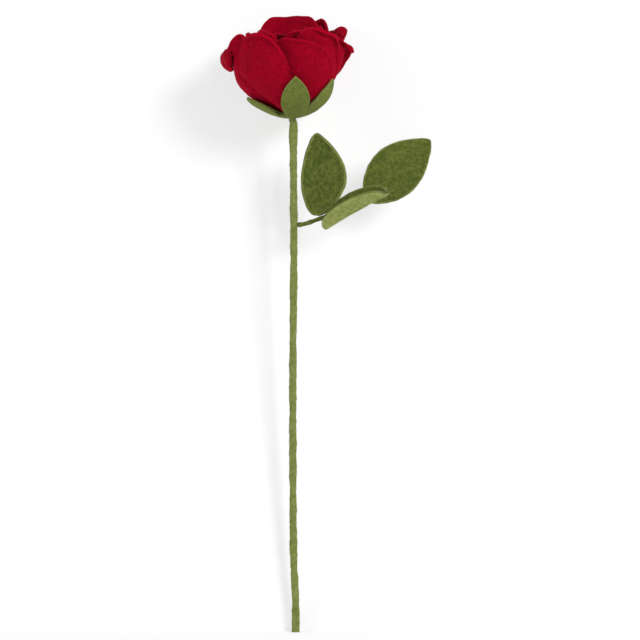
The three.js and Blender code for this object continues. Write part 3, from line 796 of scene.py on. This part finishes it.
def sleeve_radius(s, v):
    lump = 0.1 * np.sin(s * 0.9)
    return BRANCH_RADIUS - 0.2 + lump + step_in(v, 0.12, 0.34)


branch_felt = felt_finish("dark_green_wool_felt", base=colour(96, 106, 48), deep=colour(66, 75, 26),
                          pale=colour(124, 134, 72), edge=colour(118, 128, 68), stray=colour(150, 158, 100),
                          sheen=colour(180, 190, 120))
sleeve_surface = wound(sleeve_point, sleeve_length, SLEEVE_TURNS, sleeve_radius)
sleeve = felt_piece("felt_sleeve", sleeve_surface, columns=260, rows=12, thickness=SLEEVE_FELT, seed=51,
                    finishes=[branch_felt], cut=("foot", "top"), swell=0.08)
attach(sleeve, "root")
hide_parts("branch_sleeve")
fuzz("branch_fibres", [sleeve], count=1500, length=0.8, seed=52, finish=green_fibre)

# Wires
# The two drawn steel wires inside the stem and the branch. Bare metal is seen only where the stem and its
# strip are cut level at the foot.

steel = Finish("drawn_steel", Metallic=1.0, Specular_IOR_Level=0.5)
wire_place = steel.node("TexCoord", {}, {}, out="Object")
drawn = steel.node("Mapping", {}, {"Vector": wire_place, "Scale": (4000, 4000, 60)})
streak = steel.noise(drawn, 1, 3)
steel.into("Base Color", steel.blend(streak, colour(150, 150, 152), colour(196, 198, 202)))
steel.into("Roughness", 0.28 + streak * 0.2)
steel.into("Normal", steel.node("Bump", {}, {"Strength": 0.3, "Distance": 0.00005, "Height": streak}))
steel.on(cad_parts["stem_wire"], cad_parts["branch_wire"])

# Leaves
# Three pointed ovals of thicker green felt, glued to the branch by their feet. Two are cupped a little; the
# middle one is folded along its midrib and frayed at the tip, its outer side a paler copy of the felt as
# painted light.

LEAF_LENGTH = 53
MIDDLE_LEAF_LENGTH = LEAF_LENGTH - 3.5
END_LEAF_LENGTH = 56.8
LEAF_HALF_WIDTH = 15.5
LEAF_FOOT_HALF_WIDTH = 1.4
LEAF_TAPER = 0.57
FLAT_TIP = 4
LEAST_CUP = 0.15

leaf_felt = felt_finish("leaf_wool_felt", base=colour(100, 111, 48), deep=colour(52, 62, 18),
                        pale=colour(132, 143, 76), edge=colour(146, 156, 90), stray=colour(176, 182, 128),
                        sheen=colour(180, 190, 120), patches=400)
# Painted light: a lighter copy of the leaf felt, standing in for light on the middle leaf's lit outer side.
lit_side_leaf_felt = felt_finish("leaf_wool_felt_painted_lit", base=colour(156, 164, 96), deep=colour(112, 122, 58),
                             pale=colour(180, 188, 122), edge=colour(176, 184, 118),
                             stray=colour(196, 202, 146), sheen=colour(200, 208, 144), patches=400)


def leaf(name, foot, run, length, face, width, blunt, bow, cup, bend, seed, finishes, fold=None):
    """One leaf from its foot along run, facing face. It is cupped by an angle, or folded where the half width
    of a fold is given, and its middle is bowed sideways and bent back. The cup fades out towards a tip that
    is narrower than FLAT_TIP to each side."""
    face = face - run * (face @ run)
    face = face / np.linalg.norm(face)
    across = np.cross(run, face)
    cup = math.radians(cup)
    whole_width = 2 * width * LEAF_HALF_WIDTH
    swell = whole_width / 2 - LEAF_FOOT_HALF_WIDTH

    def surface(u, v):
        arch = np.sin(math.pi * v)
        oval = np.maximum(0, np.sin(math.pi * v**0.9)) ** blunt
        half = LEAF_FOOT_HALF_WIDTH * (1 - LEAF_TAPER * v) + swell * oval
        bent = half if fold is None else np.minimum(fold, half)
        cupped = cup * (half / FLAT_TIP).clip(LEAST_CUP, 1)
        turned = np.clip(u * half / bent, -1, 1) * cupped
        past = (np.abs(u) * half - bent).clip(0) * np.sign(u)
        sideways = bent / cupped * np.sin(turned) + past * math.cos(cup) + bow * arch
        inwards = bent / cupped * (1 - np.cos(turned)) + np.abs(past) * math.sin(cup) - bend * arch
        return foot + np.outer(v * length, run) + np.outer(sideways, across) + np.outer(inwards, face)

    piece = felt_piece("felt_" + name, surface, columns=46, rows=80, thickness=LEAF_FELT, seed=seed,
                       finishes=finishes, cut=("left", "right", "top", "foot"))
    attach(piece, "root")
    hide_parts(name)
    return piece


middle_leaf_foot = node + (5, -(BRANCH_RADIUS + LEAF_FELT / 2 + GAP), -5.6)
middle_leaf_run = heading(0.78, -0.47, 0.42)
leaves = [
    leaf("leaf_left", foot=node + (-1.4, 0, BRANCH_RADIUS + 3 * GAP), run=heading(0, -0.06, 1),
         length=LEAF_LENGTH, face=heading(0, -1, 0), width=1, blunt=0.8, bow=4.8, cup=32, bend=4,
         seed=61, finishes=[leaf_felt]),
    # The middle leaf's second finish, on its outer side, is the lighter copy of the felt: painted light.
    leaf("leaf_middle", foot=middle_leaf_foot, run=middle_leaf_run, length=MIDDLE_LEAF_LENGTH,
         face=heading(-0.575, -0.258, 0.779), width=0.85, blunt=0.32, bow=0, cup=67, bend=-0.6,
         seed=62, finishes=[leaf_felt, lit_side_leaf_felt], fold=4),
    leaf("leaf_end", foot=end_leaf_foot, run=end_leaf_run, length=END_LEAF_LENGTH, face=heading(0, -1, 0),
         width=1.11, blunt=0.8, bow=-0.5, cup=14, bend=0, seed=63, finishes=[leaf_felt]),
]
fuzz("leaf_fibres", leaves, count=9000, length=1.0, seed=64, finish=green_fibre)
pale_fibre = fibre_finish("pale_wool_fibre", colour(150, 158, 100), colour(212, 216, 178))
middle_leaf_tip = middle_leaf_foot + middle_leaf_run * MIDDLE_LEAF_LENGTH
fuzz("middle_leaf_frayed_fibres", leaves[1:2], count=260, length=2.0, seed=65, finish=pale_fibre,
     frayed_at=middle_leaf_tip, frayed_within=4.5)

# Floor and backdrop
# A plain pale floor, and a white card close behind the rose that catches its soft shadow as the table in the
# photograph does. Both are the same white paper, unseen from behind, without a shadow of its own, and kept
# white for the camera by a glow that gives no light.

CARD_WIDE, CARD_TALL = 640, 600
CARD_ASIDE, CARD_BEHIND, CARD_LEAN = 15, 4.5, 0.092
FLOOR_WIDE_M = 6
GLOW_SHARE = 0.6

white_paper = Finish("white_paper")
light_path = white_paper.tree.nodes.new("ShaderNodeLightPath")
seen_ray = Shade(white_paper, light_path.outputs["Is Camera Ray"])
shadow_ray = Shade(white_paper, light_path.outputs["Is Shadow Ray"])
paper = white_paper.node("BsdfDiffuse", {}, {"Color": (0.9, 0.9, 0.905, 1)})
glow = white_paper.node("Emission", {}, {"Color": (1, 1, 1, 1), "Strength": 1.0})
front = white_paper.node("MixShader", {}, {0: seen_ray * GLOW_SHARE, 1: paper, 2: glow})
clear = white_paper.node("BsdfTransparent", {}, {})
backside = white_paper.node("NewGeometry", {}, {}, out="Backfacing")
hidden = backside.maths("MAXIMUM", backside, shadow_ray)
whole_paper = white_paper.node("MixShader", {}, {0: hidden, 1: front, 2: clear})
output = white_paper.tree.nodes["Material Output"]
white_paper.tree.links.new(whole_paper.socket, output.inputs["Surface"])

bpy.ops.object.select_all(action="DESELECT")
bpy.ops.mesh.primitive_plane_add(size=1)
card = bpy.context.object
card.name = "card"
flat_card = places_of(card.data) * MM
card_height = (flat_card[:, 1] + 0.5) * CARD_TALL
card_across = flat_card[:, 0] * CARD_WIDE + CARD_ASIDE
set_places(card.data, np.stack([card_across, CARD_BEHIND + CARD_LEAN * card_height, card_height], axis=1))
white_paper.on(card)

bpy.ops.object.select_all(action="DESELECT")
bpy.ops.mesh.primitive_plane_add(size=FLOOR_WIDE_M)
floor = bpy.context.object
floor.name = "floor"
white_paper.on(floor)

# Light and camera
# Soft daylight from a window in front at the right, a broad weaker lamp at the left, and plain light all
# round. The camera looks level at the middle of the rose, from 1.4 metres in front. Lengths are metres here.

LIGHT_AROUND = 0.25
CAMERA_AWAY = 1.4
VIEW_WIDE = 0.4142
SENSOR = 36

world = bpy.data.worlds.new("studio")
scene = bpy.context.scene
scene.world = world
world.use_nodes = True
nodes, links = world.node_tree.nodes, world.node_tree.links
nodes.clear()
path = nodes.new("ShaderNodeLightPath")
seen_by = nodes.new("ShaderNodeMath")
seen_by.operation = "MAXIMUM"
links.new(path.outputs["Is Camera Ray"], seen_by.inputs[0])
links.new(path.outputs["Is Glossy Ray"], seen_by.inputs[1])
around = nodes.new("ShaderNodeBackground")
white = nodes.new("ShaderNodeBackground")
for background, strength in ((around, LIGHT_AROUND), (white, 1)):
    background.inputs["Color"].default_value = (1, 1, 1, 1)
    background.inputs["Strength"].default_value = strength
mixed = nodes.new("ShaderNodeMixShader")
links.new(seen_by.outputs[0], mixed.inputs[0])
links.new(around.outputs[0], mixed.inputs[1])
links.new(white.outputs[0], mixed.inputs[2])
links.new(mixed.outputs[0], nodes.new("ShaderNodeOutputWorld").inputs[0])


def lamp(name, place, aim, size, power):
    light = bpy.data.lights.new(name, "AREA")
    light.size, light.energy = size, power
    made = bpy.data.objects.new(name, light)
    bpy.context.collection.objects.link(made)
    made.location = place
    made.rotation_mode = "QUATERNION"
    made.rotation_quaternion = (Vector(aim) - Vector(place)).to_track_quat("-Z", "Y")


lamp("window", place=(1.1, -1.25, 1.0), aim=(0.02, 0, 0.25), size=0.6, power=27)
lamp("fill", place=(-1.5, -0.6, 0.5), aim=(0, 0, 0.25), size=0.8, power=13.5)

camera_data = bpy.data.cameras.new("camera")
camera = bpy.data.objects.new("camera", camera_data)
bpy.context.collection.objects.link(camera)
camera.location = (0.0157, -CAMERA_AWAY, 0.2019)
camera.rotation_euler = (math.pi / 2, 0, 0)
camera_data.sensor_width = SENSOR
camera_data.lens = SENSOR * CAMERA_AWAY / VIEW_WIDE
scene.camera = camera
scene.view_settings.view_transform = "Standard"
